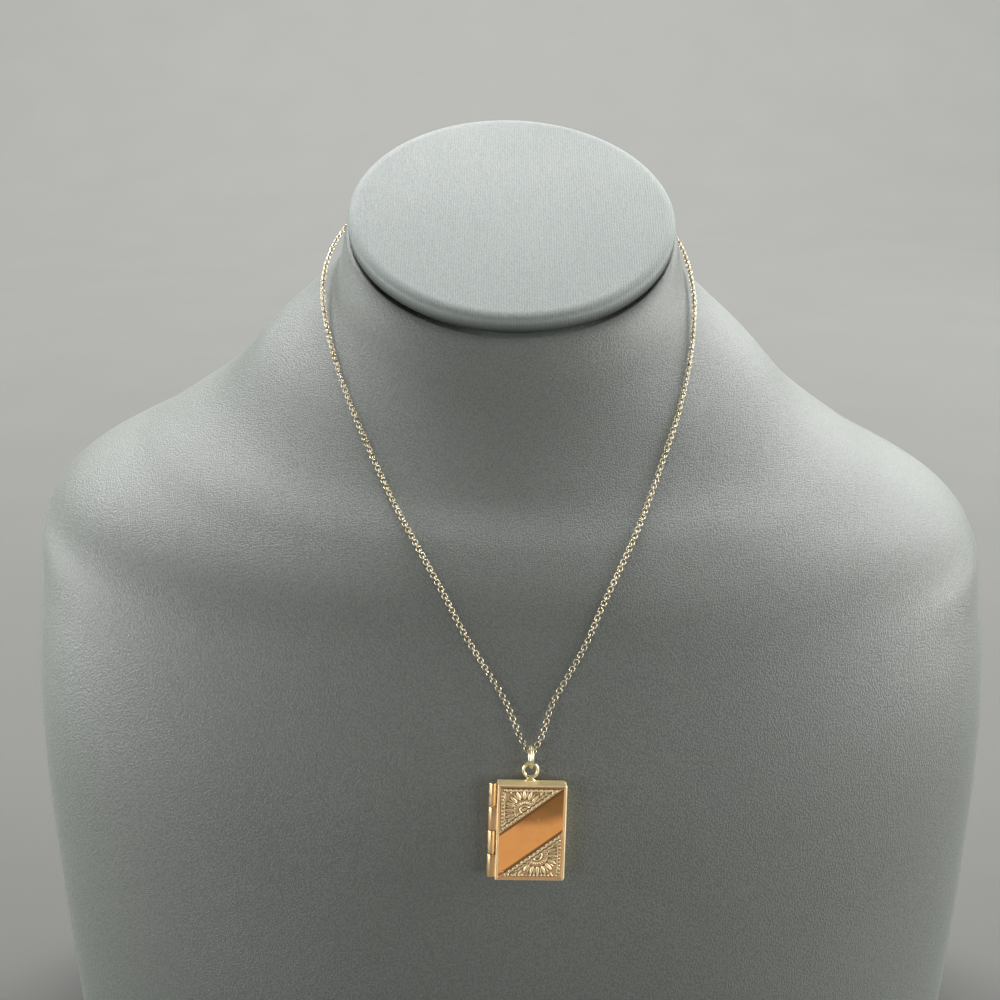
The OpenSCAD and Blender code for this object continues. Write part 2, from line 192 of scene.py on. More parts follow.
def smooth_rows(table, s):
    """Catmull-Rom curve through the rows of a table: s counts rows, and may be an array."""
    ends = np.vstack([2 * table[0] - table[1], table, 2 * table[-1] - table[-2]])
    s = np.asarray(s, float)
    i = np.clip(np.floor(s).astype(int), 0, len(table) - 2)
    f = (s - i)[..., None]
    a, b, c, d = ends[i], ends[i + 1], ends[i + 2], ends[i + 3]
    return 0.5 * (2 * b + (c - a) * f + (2 * a - 5 * b + 4 * c - d) * f ** 2
                  + (3 * b - a - 3 * c + d) * f ** 3)


def round_steps(count):
    """Angles in radians of a number of even steps round a circle."""
    return np.arange(count) * 2 * math.pi / count


def squared(wave, power):
    """A sine or cosine raised to a power, with its sign kept: it squares off a superellipse."""
    return np.sign(wave) * np.abs(wave) ** power


def on_bust(s, v):
    """Points of the skin at section s and angle v in degrees. A section is a superellipse, across by
    deep, with across = half width * cos(v) ^ (2 / exponent) and deep = half depth * sin(v) ^ (2 /
    exponent). It is tilted back about X and leaned about Y, and set back as it rises."""
    row = smooth_rows(BUST_SECTIONS, s)
    v = np.radians(v)
    power = 2 / row[..., 8]
    across = (row[..., 1] * BUST_WIDTH + row[..., 2] * NECK_ACROSS) / 2 * squared(np.cos(v), power)
    deep = (row[..., 3] * BUST_DEPTH + row[..., 4] * NECK_ACROSS) / 2 * squared(np.sin(v), power)
    tilt, lean = row[..., 6] * NECK_TILT, row[..., 7] * NECK_LEAN
    x = across * np.cos(lean) + deep * np.sin(tilt) * np.sin(lean)
    y = BASE_Y + row[..., 5] * NECK_SETBACK + deep * np.cos(tilt)
    z = row[..., 0] * BUST_HEIGHT - across * np.sin(lean) + deep * np.sin(tilt) * np.cos(lean)
    return np.stack([x, y, z], -1)


def unit(vectors):
    """Vectors divided by their lengths."""
    return vectors / np.linalg.norm(vectors, axis=-1, keepdims=True)


def off_bust(s, v):
    """Unit normals of the skin: the run round a section crossed with the run up the form."""
    s, v = np.asarray(s, float), np.asarray(v, float)
    return unit(np.cross(on_bust(s, v + 0.5) - on_bust(s, v - 0.5),
                         on_bust(np.minimum(s + 0.02, TOP_SECTION), v) - on_bust(s - 0.02, v)))


def grid_faces(rows, columns):
    """Quads between rows of points that each close on themselves, numbered row by row."""
    i, j = np.meshgrid(np.arange(rows - 1), np.arange(columns), indexing="ij")
    k = (j + 1) % columns
    return np.stack([i * columns + j, i * columns + k, (i + 1) * columns + k, (i + 1) * columns + j],
                    -1).reshape(-1, 4)


def closed_stack(rings):
    """Faces of a stack of closed rings, with one many-sided face over its first and its last ring."""
    rows, columns = rings.shape[:2]
    faces = grid_faces(rows, columns).tolist()
    faces.append(list(range(columns - 1, -1, -1)))
    faces.append(list(range((rows - 1) * columns, rows * columns)))
    return faces


SKIN_ROWS, SKIN_COLUMNS = 190, 288
SKIN_FROM, SKIN_TO = 0.08, TOP_SECTION - 0.15
up_bust, round_bust = np.meshgrid(np.linspace(SKIN_FROM, SKIN_TO, SKIN_ROWS),
                                  np.arange(SKIN_COLUMNS) * 360 / SKIN_COLUMNS, indexing="ij")
skin = on_bust(up_bust, round_bust)
# The covering isn't quite even: the sum of three slow waves fades out at both ends
RIPPLE_HEIGHT = 0.00005
ripple = sum(np.sin(np.radians(waves * round_bust) + climb * up_bust)
             for waves, climb in ((3, 1.3), (5, -2.1), (8, 3.0)))
ripple = ripple * np.sin(math.pi * up_bust / TOP_SECTION)
skin = skin + RIPPLE_HEIGHT * ripple[..., None] * off_bust(up_bust, round_bust)
# The lowest rows turn in to the flat underside: share of the foot's outline, and height in metres
FOOT_EDGE = ((0.02, 0), (0.5, 0), (0.965, 0), (0.988, 0.0004), (0.997, 0.0014))
# The last rows roll over the edge of the neck and are tucked in about a millimetre deep: how far
# below the top section they are, share of the outline there, and lift in metres
NECK_EDGE = ((0.10, 0.9995, 0), (0.065, 0.998, 0), (0.035, 0.994, 0), (0.012, 0.988, 0), (0, 0.980, 0),
             (0, 0.972, -0.0003), (0, 0.966, -0.0008), (0, 0.963, -0.0012), (0, 0.5, -0.0012),
             (0, 0.02, -0.0012))
foot = on_bust(0, round_bust[0])
centre = foot.mean(0)
foot_turn = [centre + (foot - centre) * share + (0, 0, lift) for share, lift in FOOT_EDGE]
neck = on_bust(TOP_SECTION, round_bust[0])
centre = neck.mean(0)
neck_up = unit(np.cross(neck[0] - centre, neck[SKIN_COLUMNS // 4] - centre))
neck_turn = []
for below, share, lift in NECK_EDGE:
    neck = on_bust(TOP_SECTION - below, round_bust[0])
    centre = neck.mean(0)
    neck_turn.append(centre + (neck - centre) * share + lift * neck_up)
bust_rings = np.array(foot_turn + list(skin) + neck_turn)
bust = make_piece("bust_form", bust_rings, closed_stack(bust_rings))


def leather_grain():
    """Node group of fine leather grain: the cells of a warped Voronoi pattern are pebbles, their
    borders are creases, and a finer noise adds pores. It gives the height and a mask of pebbles."""
    group = bpy.data.node_groups.new("leather_grain", "ShaderNodeTree")
    group.interface.new_socket("Vector", in_out="INPUT", socket_type="NodeSocketVector")
    group.interface.new_socket("Height", in_out="OUTPUT", socket_type="NodeSocketFloat")
    group.interface.new_socket("Pebble", in_out="OUTPUT", socket_type="NodeSocketFloat")
    start = group.nodes.new("NodeGroupInput").outputs["Vector"]
    warp = add_noise(group, start, 0.7, 2.0)
    moved = add_node(group, "ShaderNodeVectorMath", links=[(0, warp.outputs["Color"]), (2, start)],
                     sockets=[(1, (1.3, 1.3, 1.3))], operation="MULTIPLY_ADD").outputs[0]
    cells = add_node(group, "ShaderNodeTexVoronoi", links=[("Vector", moved)],
                     sockets=[("Scale", 1.0)], feature="F1")
    pebble = remap(group, cells.outputs["Distance"], 0.15, 0.75, 1.0, 0.0, soft=True)
    pores = add_noise(group, moved, 2.6, 3.0)
    height = add_node(group, "ShaderNodeMath", links=[(0, pores.outputs["Fac"]), (2, pebble)],
                      sockets=[(1, 0.8)], operation="MULTIPLY_ADD")
    end = group.nodes.new("NodeGroupOutput")
    group.links.new(height.outputs[0], end.inputs["Height"])
    group.links.new(pebble, end.inputs["Pebble"])


def leatherette(name, dark, light, roughness, cell, bump):
    """Coated cloth with leather grain: pebbles are lighter and smoother than the creases between
    them, and slow clouds shift both. cell is the size of a pebble along X, Y and Z in metres."""
    made, tree, shader = make_material(name, light, roughness)
    place = add_node(tree, "ShaderNodeTexCoord").outputs["Object"]
    sized = add_node(tree, "ShaderNodeMapping", links=[("Vector", place)],
                     sockets=[("Scale", tuple(1 / size for size in cell))]).outputs["Vector"]
    grain = add_node(tree, "ShaderNodeGroup", node_tree=bpy.data.node_groups["leather_grain"])
    tree.links.new(sized, grain.inputs["Vector"])
    clouds = add_noise(tree, place, 16.0, 3.0)
    drift = remap(tree, clouds.outputs["Fac"], 0.3, 0.7, -0.2, 0.2)
    share = add_node(tree, "ShaderNodeMath", links=[(0, grain.outputs["Pebble"]), (1, drift)],
                     operation="ADD", use_clamp=True).outputs[0]
    tree.links.new(mix_colours(tree, share, dark, light), shader.inputs["Base Color"])
    tree.links.new(remap(tree, share, 0.0, 1.0, roughness + 0.10, roughness - 0.05),
                   shader.inputs["Roughness"])
    relief = add_node(tree, "ShaderNodeBump", links=[("Height", grain.outputs["Height"])],
                      sockets=[("Strength", bump), ("Distance", 0.0001)])
    tree.links.new(relief.outputs["Normal"], shader.inputs["Normal"])
    return made, tree, shader


leather_grain()
grey_leatherette, tree, shader = leatherette(
    "grey_leatherette", (0.110, 0.118, 0.107), (0.160, 0.171, 0.157), 0.40,
    (0.00036, 0.00036, 0.00050), 0.55)
shader.inputs["Specular IOR Level"].default_value = 0.7
shader.inputs["Sheen Weight"].default_value = 0.2
shader.inputs["Sheen Roughness"].default_value = 0.45
shader.inputs["Sheen Tint"].default_value = (0.85, 0.95, 0.90, 1.0)
bust.data.materials.append(grey_leatherette)
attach(bust, "stand")
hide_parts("bust")

# Cap of the neck
# A thin pad covered in paler leatherette with fine ribs. Its edge is rolled under, and it rests on
# the neck's opening with a narrow dark gap that widens a little towards the front.
CAP_HEIGHT, CAP_INSET, CAP_EDGE, CAP_CROWN = 0.0045, 0.001, 0.0024, 0.0008
CAP_GAP, CAP_OPEN = 0.0003, math.radians(0.8)
CAP_COLUMNS, CAP_MIDDLE = 192, 0.0002
cap_radius = NECK_ACROSS / 2 - 0.6 * CAP_INSET
cap_low, cap_turn = 0.3 * CAP_EDGE, 0.65 * CAP_EDGE
turn_low, turn_high = np.radians(np.arange(0, 81, 10)), np.radians(np.arange(0, 91, 6))
# Radius and height, from the middle of the underside round the edge to the middle of the top
cap_profile = np.concatenate([
    [(CAP_MIDDLE, 0), (cap_radius * 0.6, 0)],
    np.stack([cap_radius - cap_low + cap_low * np.sin(turn_low), cap_low - cap_low * np.cos(turn_low)], -1),
    np.stack([cap_radius - 2 * cap_turn + 2 * cap_turn * np.cos(turn_high),
              CAP_HEIGHT - cap_turn + cap_turn * np.sin(turn_high)], -1)])
rim = cap_radius - 2 * cap_turn
inner = np.linspace(rim, CAP_MIDDLE, 24)[1:]
crown = np.stack([inner, CAP_HEIGHT + CAP_CROWN * (1 - (inner / rim) ** 2)], -1)
cap_profile = np.concatenate([cap_profile, crown])


def turned(profile, columns):
    """Rings of a profile of radius and height carried round Z: x = radius * cos(v), y = radius * sin(v)."""
    v = round_steps(columns)
    return np.stack([profile[:, :1] * np.cos(v), profile[:, :1] * np.sin(v),
                     np.repeat(profile[:, 1:], columns, 1)], -1)


def turn_matrix(axis, angle):
    """Matrix of a turn by an angle in radians about the axis X, Y or Z, numbered 0, 1 or 2."""
    i, j = [(1, 2), (2, 0), (0, 1)][axis]
    made = np.eye(3)
    made[i, i] = made[j, j] = math.cos(angle)
    made[i, j], made[j, i] = -math.sin(angle), math.sin(angle)
    return made


cap_rings = turned(cap_profile, CAP_COLUMNS) + (0, 0, CAP_GAP + cap_radius * math.sin(CAP_OPEN))
cap_tilt = turn_matrix(1, NECK_LEAN) @ turn_matrix(0, NECK_TILT - CAP_OPEN)
cap_rings = cap_rings @ cap_tilt.T + (0, BASE_Y + NECK_SETBACK, BUST_HEIGHT)
# Painted shade: the lower part of the edge, where it turns under, is painted darker. The mask is 1 at its
# foot, and falls to 0 at seven tenths of the cap's height
painted_edge_shade = np.clip(1.3 - cap_profile[:, 1] / (0.55 * CAP_HEIGHT), 0, 1)
cap = make_piece("cap_pad", cap_rings, closed_stack(cap_rings),
                 [("under", np.repeat(painted_edge_shade, CAP_COLUMNS))])
ribbed_leatherette, tree, shader = leatherette(
    "ribbed_leatherette", (0.174, 0.197, 0.187), (0.208, 0.232, 0.221), 0.58,
    (0.00035, 0.0006, 0.0006), 0.25)
# Fine ribs that run from the back of the cap to its front: a sine wave along X, 0.6 mm apart, whose
# line a slow noise bends
place = add_node(tree, "ShaderNodeTexCoord").outputs["Object"]
ribs = add_node(tree, "ShaderNodeTexWave", links=[("Vector", place)], wave_type="BANDS", bands_direction="X",
                sockets=[("Scale", 520.0), ("Distortion", 2.5), ("Detail", 2.0), ("Detail Scale", 0.5)])
grain_normal = shader.inputs["Normal"].links[0].from_socket
rib_bump = add_node(tree, "ShaderNodeBump", sockets=[("Strength", 0.35), ("Distance", 0.0001)],
                    links=[("Height", ribs.outputs["Fac"]), ("Normal", grain_normal)])
tree.links.new(rib_bump.outputs["Normal"], shader.inputs["Normal"])
grain_colour = shader.inputs["Base Color"].links[0].from_socket
ribbed_colour = mix_colours(tree, remap(tree, ribs.outputs["Fac"], 0.0, 1.0, 0.0, 0.55), grain_colour,
                            (0.231, 0.255, 0.243))
# The mask under paints shade on the turned-under edge by mixing the colour towards near black
under = add_node(tree, "ShaderNodeAttribute", attribute_name="under").outputs["Fac"]
tree.links.new(mix_colours(tree, under, ribbed_colour, (0.022, 0.025, 0.023)), shader.inputs["Base Color"])
shader.inputs["Sheen Weight"].default_value = 0.05
cap.data.materials.append(ribbed_leatherette)
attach(cap, "stand")
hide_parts("neck_cap")

# Chain
# A fine trace chain of soldered oval wire links of pale gold. Each link passes through the next,
# a quarter turn round, and the whole lies round the neck and hangs through the ring.
MM = 0.001
LINK_LONG, LINK_WIDE, LINK_WIRE, LINK_PITCH = 0.00150, 0.00128, 0.00025, 0.00090
CHAIN_ACROSS, REST_GAP = 0.0012, 0.00015
RING_ACROSS, RING_WIRE, BOOK_ROLL, BOOK_TURN = 0.0052, 0.00065, math.radians(1.7), math.radians(3.0)
# The book leans back as the chest does below the point that the ring hangs on
BOOK_LEAN = math.radians(9.71275)
HANG_ROW, HANG_ANGLE = 2.54, 271.35
hang_point = on_bust(HANG_ROW, HANG_ANGLE) + (RING_ACROSS / 2 + REST_GAP) * off_bust(HANG_ROW, HANG_ANGLE)
# Section of the bust, angle round it in degrees, and extra height above it in millimetres
ROUTE_LEFT = np.array([
    [8.74, 98, 1.1], [8.59, 116.5, 0.3], [8.51, 135, 0.3], [8.43, 153, 1], [8.26, 170, 1.8],
    [8.01, 186, 1.8], [7.79, 204, 0.7], [7.48, 221.5, 0], [6.96, 236, 0], [6.12, 247.3, 0],
    [5.21, 256.7, 0], [4.35, 263.5, 0], [3.62, 267.1, 0.1], [2.98, 269.8, 0.7]])
ROUTE_RIGHT = np.array([
    [8.74, 82, 1.1], [8.62, 64, 0.3], [8.55, 45.5, 0.2], [8.48, 27.5, 0.5], [8.32, 10.5, 0.7],
    [8.07, -6, 0.6], [7.81, -23, 0.3], [7.46, -39.5, 0], [6.93, -53, 0], [6.07, -64, 0],
    [5.14, -73.4, 0], [4.26, -80.5, 0], [3.50, -84.2, 0.1], [2.97, -86.9, 0.7]])
# The bend in the ring, in millimetres from the ring's middle: right, back and up
ROUTE_BEND = np.array([
    [-2.6, 0.5, 4.6], [-1.4, 0.1, 2.5], [-0.9, 0, 1.6], [-0.5, 0, 1.1], [0, 0, 0.93],
    [0.5, 0, 1.1], [0.9, 0, 1.6], [1.3, 0.1, 2.5], [2.4, 0.5, 4.6]])
# Points worked out along each half, points kept of them, and points of the whole smooth curve
ROUTE_STEPS, ROUTE_KEPT, FINE_STEPS = 260, 21, 3000


def lying_route(rows):
    """Points and normals of a route that lies on the bust: the skin's point raised along its normal."""
    row = smooth_rows(rows, np.linspace(0, len(rows) - 1, ROUTE_STEPS))
    out = off_bust(row[:, 0], row[:, 1])
    return on_bust(row[:, 0], row[:, 1]) + (CHAIN_ACROSS / 2 + REST_GAP + row[:, 2:] * MM) * out, out


left_route, left_out = lying_route(ROUTE_LEFT)
right_route, right_out = lying_route(ROUTE_RIGHT)
bend_route = ROUTE_BEND * MM @ turn_matrix(0, -BOOK_LEAN).T + hang_point
bend_out = np.repeat((turn_matrix(0, -BOOK_LEAN) @ (0, -1, 0))[None], len(bend_route), 0)
# The whole route is a smooth curve through the kept points, from the clasp's left end down to the
# ring and up to its right end. Its rows are a point and a normal.
kept = np.linspace(0, ROUTE_STEPS - 1, ROUTE_KEPT).round().astype(int)
corner_rows = np.concatenate([np.hstack([left_route, left_out])[kept], np.hstack([bend_route, bend_out]),
                              np.hstack([right_route, right_out])[kept[::-1]]])
route = smooth_rows(corner_rows, np.linspace(0, len(corner_rows) - 1, FINE_STEPS))
run_length = np.concatenate([[0], np.cumsum(np.linalg.norm(np.diff(route[:, :3], axis=0), axis=1))])
link_count = 2 * round((run_length[-1] - LINK_LONG) / LINK_PITCH / 2) + 1
link_at = np.linspace(LINK_LONG / 2, run_length[-1] - LINK_LONG / 2, link_count)


def at_length(where):
    """Rows of the route at these lengths along it."""
    return np.stack([np.interp(where, run_length, column) for column in route.T], -1)


link_middle = at_length(link_at)
# A link points along the route from just before its middle to just beyond it
RUN_REACH = 0.0004
link_run = unit(at_length(link_at + RUN_REACH)[:, :3] - at_length(link_at - RUN_REACH)[:, :3])
# The links face forward and up, drawn a little towards the skin's normal
link_facing = unit(0.35 * link_middle[:, 3:] + (0, -0.9, 0.45))
link_side = unit(np.cross(link_run, link_facing))
link_up = np.cross(link_side, link_run)
# The links lie flat and stand on edge in turn. A slow wave rolls the chain a little to both sides.
on_edge = np.arange(link_count) % 2
roll = on_edge * math.pi / 2 + 0.10 * np.sin(link_at * 190) + 0.06 * np.sin(link_at * 433 + 1)
link_side, link_up = (np.cos(roll)[:, None] * link_side + np.sin(roll)[:, None] * link_up,
                      np.cos(roll)[:, None] * link_up - np.sin(roll)[:, None] * link_side)


def oval_ring(long, wide, wire, columns, sides, full=0.0, thin=0.0):
    """Wire bent into an oval. Its centre line is (a * cos(u), b * sin(u)) * (1 + full * sin(2 * u) ^ 2),
    and its circle stands square to that. thin makes it thinner in a narrow groove at u = 0.
    Columns of the result: along, across and up."""
    u, v = np.meshgrid(round_steps(columns), round_steps(sides), indexing="ij")
    a, b = (long - wire) / 2, (wide - wire) / 2
    bulge = 1 + full * np.sin(2 * u) ** 2
    away = unit(np.stack([b * np.cos(u), a * np.sin(u)], -1))
    radius = wire / 2 * (1 - thin * np.exp(-(np.sin(u / 2) / 0.03) ** 2))
    reach = radius * np.cos(v)
    return np.stack([a * bulge * np.cos(u) + reach * away[..., 0],
                     b * bulge * np.sin(u) + reach * away[..., 1], radius * np.sin(v)], -1)


def torus_faces(columns, sides):
    """Quads of a tube that closes both along its length and round its wire."""
    i, j = np.meshgrid(np.arange(columns), np.arange(sides), indexing="ij")
    k, m = (i + 1) % columns, (j + 1) % sides
    return np.stack([i * sides + j, k * sides + j, k * sides + m, i * sides + m], -1).reshape(-1, 4)


LINK_COLUMNS, LINK_SIDES = 18, 8
link = oval_ring(LINK_LONG, LINK_WIDE, LINK_WIRE, LINK_COLUMNS, LINK_SIDES, full=0.06).reshape(-1, 3)
link_points = link_middle[:, None, :3] + link @ np.stack([link_run, link_side, link_up], 1)
link_faces = torus_faces(LINK_COLUMNS, LINK_SIDES)[None] + np.arange(link_count)[:, None, None] * len(link)
# Each link has its own tone. Painted shade: those on edge are darker, most at their ends inside the next
# links, where the shade is cos(u) ^ 2. The wire's inner side is painted darkest, as shade together with some
# dirt that no polish reaches, with a shade of ((1 - cos(v)) / 2) ^ 2.
inner_side_shade = np.tile(((1 - np.cos(round_steps(LINK_SIDES))) / 2) ** 2, LINK_COLUMNS)
link_end = np.repeat(np.cos(round_steps(LINK_COLUMNS)) ** 2, LINK_SIDES)
own_shade = 0.08 + 0.08 * np.sin(np.arange(link_count) * 12.9898)
link_tone_and_shade = own_shade[:, None] + 0.9 * inner_side_shade + on_edge[:, None] * (0.15 + 0.8 * link_end)
link_tone_and_shade = np.clip(link_tone_and_shade, 0, 1)
chain = make_piece("chain_links", link_points, link_faces.reshape(-1, 4), [("shade", link_tone_and_shade)])


def metal_wear():
    """Node group for worn metal: fine scratches from a stretched noise, and slow smears from a broad
    one. Both come out as masks from 0 to 1, with a height for the bump."""
    group = bpy.data.node_groups.new("metal_wear", "ShaderNodeTree")
    for name in ("Vector", "Stretch"):
        group.interface.new_socket(name, in_out="INPUT", socket_type="NodeSocketVector")
    for name in ("Scratch", "Smear", "Height"):
        group.interface.new_socket(name, in_out="OUTPUT", socket_type="NodeSocketFloat")
    start = group.nodes.new("NodeGroupInput")
    place, stretch = start.outputs["Vector"], start.outputs["Stretch"]
    drawn = add_node(group, "ShaderNodeVectorMath", links=[(0, place), (1, stretch)],
                     operation="MULTIPLY").outputs[0]
    fine = add_noise(group, drawn, 1.0, 4.0)
    broad = add_noise(group, place, 320.0, 3.0)
    end = group.nodes.new("NodeGroupOutput")
    group.links.new(remap(group, fine.outputs["Fac"], 0.52, 0.75, 0.0, 1.0), end.inputs["Scratch"])
    group.links.new(remap(group, broad.outputs["Fac"], 0.35, 0.68, 0.0, 1.0, soft=True), end.inputs["Smear"])
    group.links.new(fine.outputs["Fac"], end.inputs["Height"])


def gold(name, colour, deep, roughness, stretch, bump, shade=None, satin=None):
    """Polished gold. Smears and scratches make it rougher. Two attributes may change it: shade, from 0
    to 1, mixes the colour with the deep one, and satin makes it rougher, by 0.4 where it is 1."""
    made, tree, shader = make_material(name, colour, roughness, 1.0)
    place = add_node(tree, "ShaderNodeTexCoord").outputs["Object"]
    worn = add_node(tree, "ShaderNodeGroup", node_tree=bpy.data.node_groups["metal_wear"],
                    sockets=[("Stretch", stretch)])
    tree.links.new(place, worn.inputs["Vector"])
    if shade:
        share = add_node(tree, "ShaderNodeAttribute", attribute_name=shade).outputs["Fac"]
    else:
        share = remap(tree, worn.outputs["Smear"], 0.0, 1.0, 0.0, 0.6)
    tree.links.new(mix_colours(tree, share, colour, deep), shader.inputs["Base Color"])
    smeared = remap(tree, worn.outputs["Smear"], 0.0, 1.0, 0.75 * roughness, 1.3 * roughness)
    rough = add_node(tree, "ShaderNodeMath", links=[(0, worn.outputs["Scratch"]), (2, smeared)],
                     sockets=[(1, 0.05)], operation="MULTIPLY_ADD").outputs[0]
    if satin:
        matt = add_node(tree, "ShaderNodeAttribute", attribute_name=satin).outputs["Fac"]
        rough = add_node(tree, "ShaderNodeMath", links=[(0, matt), (2, rough)],
                         sockets=[(1, 0.4)], operation="MULTIPLY_ADD").outputs[0]
    tree.links.new(rough, shader.inputs["Roughness"])
    relief = add_node(tree, "ShaderNodeBump", links=[("Height", worn.outputs["Height"])],
                      sockets=[("Strength", bump), ("Distance", 0.00002)])
    tree.links.new(relief.outputs["Normal"], shader.inputs["Normal"])
    return made, tree, shader


metal_wear()
chain_gold = gold("chain_gold", (0.90, 0.82, 0.60), (0.28, 0.20, 0.09), 0.30, (9000.0, 9000.0, 3000.0), 0.2,
                  shade="shade")[0]
chain.data.materials.append(chain_gold)
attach(chain, "stand")
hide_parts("chain")

# Clasp
# The closed catch behind the neck, a slim barrel of the chain's gold between its two end links.
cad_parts["clasp"].data.materials.clear()
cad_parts["clasp"].data.materials.append(chain_gold)

# Jump ring
# A ring of pale gold wire, bent round and closed with its two ends butted at the top. It stands
# edge-on, carries the book on the chain, and isn't soldered.
RING_TURN = BOOK_TURN + math.radians(5.0)
RING_COLUMNS, RING_SIDES = 160, 16
hang_turn = turn_matrix(0, -BOOK_LEAN) @ turn_matrix(1, BOOK_ROLL)
# Along is up and across is back, so the butted ends come to the top of the ring
ring_wire = oval_ring(RING_ACROSS, RING_ACROSS, RING_WIRE, RING_COLUMNS, RING_SIDES, thin=0.22)
ring_wire = ring_wire[..., [2, 1, 0]] * (1, -1, 1)
ring_points = ring_wire @ turn_matrix(2, RING_TURN).T @ hang_turn.T + hang_point
ring = make_piece("ring_wire", ring_points, torus_faces(RING_COLUMNS, RING_SIDES))
ring_gold = gold("ring_gold", (0.96, 0.88, 0.62), (0.92, 0.78, 0.48), 0.38,
                 (6000.0, 6000.0, 6000.0), 0.15)[0]
ring.data.materials.append(ring_gold)
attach(ring, "stand")
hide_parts("jump_ring")

# Back half of the book
# A shallow tray pressed from gold sheet, with its edges softened by polishing. The bail, a ring on a
# small foot, is soldered on its top, and the first and third knuckles of the spine on its side.
# The book's sizes are in millimetres, in a frame of its own round the ring's middle
COVER_WIDE, COVER_TALL, CASE_THICK, SHEET, SEAM = 14.8, 21.1, 4.3, 0.5, 0.1
BAIL_ACROSS, BAIL_WIRE, BAIL_SHIFT, BAIL_FOOT, LINK_GAP = 3.8, 0.75, 0.3, 0.6, 0.08
KNUCKLE_ACROSS, PIN_ACROSS, PIN_PLAY, KNUCKLE_GAP, SPINE_GAP, LEAF_THICK = 1.7, 0.7, 0.05, 0.12, 0.13, 0.5
cover_deep = (CASE_THICK - SEAM) / 2
back_face = cover_deep / 2
front_face = back_face - CASE_THICK
seam_at = back_face - cover_deep - SEAM / 2
cover_left = BAIL_SHIFT - COVER_WIDE / 2
bail_at = (-(RING_ACROSS - RING_WIRE) / 2 + RING_WIRE / 2) / MM + BAIL_WIRE + LINK_GAP - BAIL_ACROSS / 2
cover_top = bail_at - BAIL_ACROSS / 2 - BAIL_FOOT
spine_at = cover_left - SPINE_GAP - KNUCKLE_ACROSS / 2
knuckle_pitch = COVER_TALL / 4
KNUCKLE_COLUMNS, BAIL_COLUMNS, BAIL_SIDES = 48, 72, 20


def on_book(points):
    """Points of the book's own frame, in millimetres from the ring's middle (right, back, up), put
    where the book hangs and leans."""
    return np.asarray(points) * MM @ turn_matrix(2, BOOK_TURN).T @ hang_turn.T + hang_point


def card_outline(wide, tall, corners, inset):
    """Rounded rectangle from (0, 0) to (wide, -tall), drawn in from its edge by inset. corners are the
    radii at the left and at the right, and each arc is a quarter circle of radius - inset."""
    arc = np.linspace(0, math.pi / 2, 8)
    parts = []
    for x, y, radius, first in ((wide, 0, corners[1], 0), (0, 0, corners[0], 1),
                                (0, -tall, corners[0], 2), (wide, -tall, corners[1], 3)):
        turn = arc + first * math.pi / 2
        sign_x, sign_y = (1 if x else -1), (-1 if y else 1)
        left = max(radius - inset, 0.02)
        parts.append(np.stack([x - sign_x * (inset + left) + left * np.cos(turn),
                               y - sign_y * (inset + left) + left * np.sin(turn)], -1))
    return np.concatenate(parts)


def card_stack(wide, tall, corners, profile, x, z, face, inward):
    """Rings of a card outline, one for each row of inset and depth in the profile. Depth runs from the
    face along Y, towards +Y where inward is 1 and towards -Y where it is -1."""
    rings = []
    for inset, depth in profile:
        flat = card_outline(wide, tall, corners, inset)
        flat[:, 0] = np.maximum(flat[:, 0], 0)
        y = np.full(len(flat), face + inward * depth)
        rings.append(np.stack([x + flat[:, 0], y, z + flat[:, 1]], -1))
    return np.array(rings)


def stack_shell(rings):
    """A closed stack of rings as one shell: its points, its quads and its two end faces."""
    rows, columns = rings.shape[:2]
    ends = [list(range(columns)), list(range((rows - 1) * columns, rows * columns))[::-1]]
    return rings.reshape(-1, 3), grid_faces(rows, columns)[:, ::-1], ends


def loop_shell(rings):
    """Rings that also close on each other, as one shell of quads."""
    return rings.reshape(-1, 3), torus_faces(*rings.shape[:2]), []


def join_shells(shells):
    """Points and faces of closed shells as one mesh. A shell whose signed volume about its middle, the
    sum of a . (b x c) / 6 over the halves of its quads, is negative gets its faces turned round."""
    points, faces, start = [], [], 0
    for shape, quads, ends in shells:
        a, b, c, d = np.moveaxis((shape - shape.mean(0))[quads], 1, 0)
        volume = (a * np.cross(b, c)).sum() + (a * np.cross(c, d)).sum()
        step = -1 if volume < 0 else 1
        faces += (quads[:, ::step] + start).tolist() + [[k + start for k in end[::step]] for end in ends]
        points.append(shape)
        start += len(shape)
    return np.concatenate(points), faces


def knuckle_shells(number, side):
    """A knuckle of the spine, a bored tube turned round the pin's line, and the leaf that joins it to
    its cover: side is 1 for the back cover's leaf and -1 for the front cover's."""
    bore, outer, length = PIN_ACROSS / 2 + PIN_PLAY, KNUCKLE_ACROSS / 2, knuckle_pitch - KNUCKLE_GAP
    low = cover_top - knuckle_pitch * (number + 1) + KNUCKLE_GAP / 2
    half = [(bore, 0.03), (bore + 0.03, 0), (outer - 0.14, 0), (outer - 0.06, 0.02),
            (outer - 0.02, 0.06), (outer, 0.14)]
    profile = np.array(half + [(radius, length - height) for radius, height in half[::-1]])
    tube = turned(profile, KNUCKLE_COLUMNS) + (spine_at, seam_at, low)
    reach = cover_left - spine_at + SHEET / 2
    leaf = card_stack(reach, length - 2 * KNUCKLE_GAP, (0.05, 0.05),
                      [(0.1, 0), (0.03, 0.01), (0, 0.05), (0, LEAF_THICK - 0.05), (0.03, LEAF_THICK - 0.01),
                       (0.1, LEAF_THICK)], spine_at, low + length - KNUCKLE_GAP,
                      seam_at + side * outer, -side)
    return [loop_shell(tube), stack_shell(leaf)]


